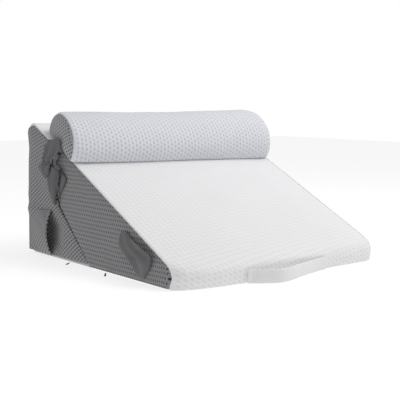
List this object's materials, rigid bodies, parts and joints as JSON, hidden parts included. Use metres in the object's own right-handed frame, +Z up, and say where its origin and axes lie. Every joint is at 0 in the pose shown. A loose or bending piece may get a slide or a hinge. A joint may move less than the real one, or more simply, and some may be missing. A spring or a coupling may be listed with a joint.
{
  "type": "wedge pillow set with head bolster",
  "caption": "Foam wedge pillow in white knit with grey mesh sides, in a front and a rear wedge, with a half-moon bolster tied on near the top, a nose handle and a side pocket.",
  "frame": {"origin": "bottom centre of the whole object's box, on the floor", "axes": "+X to the right when facing the tall end from the nose, +Y from the nose to the tall end, +Z up"},
  "size_m": [0.627, 0.6389, 0.3482],
  "materials": {
    "white_knit": "smooth white knit with fine slanting lines, matt",
    "white_quilted_knit": "cool white air-layer knit with small dimples, matt",
    "grey_mesh": "mid grey spacer mesh with rows of small holes, matt",
    "grey_band": "smooth grey woven band, matt",
    "dark_zip": "dark grey moulded plastic"
  },
  "bodies": {
    "root": {"front_wedge": "white_knit", "front_side_left": "grey_mesh", "front_side_right": "grey_mesh", "rear_wedge": "white_knit", "rear_side_left": "grey_mesh", "rear_side_right": "grey_mesh", "rear_back": "grey_mesh", "bolster": "white_quilted_knit", "bolster_cap_left": "grey_mesh", "bolster_cap_right": "grey_mesh", "rear_pocket": "grey_mesh", "nose_handle": "white_knit", "side_handle": "grey_band", "bolster_tie": "grey_mesh", "rear_tab": "grey_band", "front_flap": "grey_band", "zip_pull_front": "dark_zip", "zip_pull_rear": "dark_zip"}
  },
  "joints": []
}
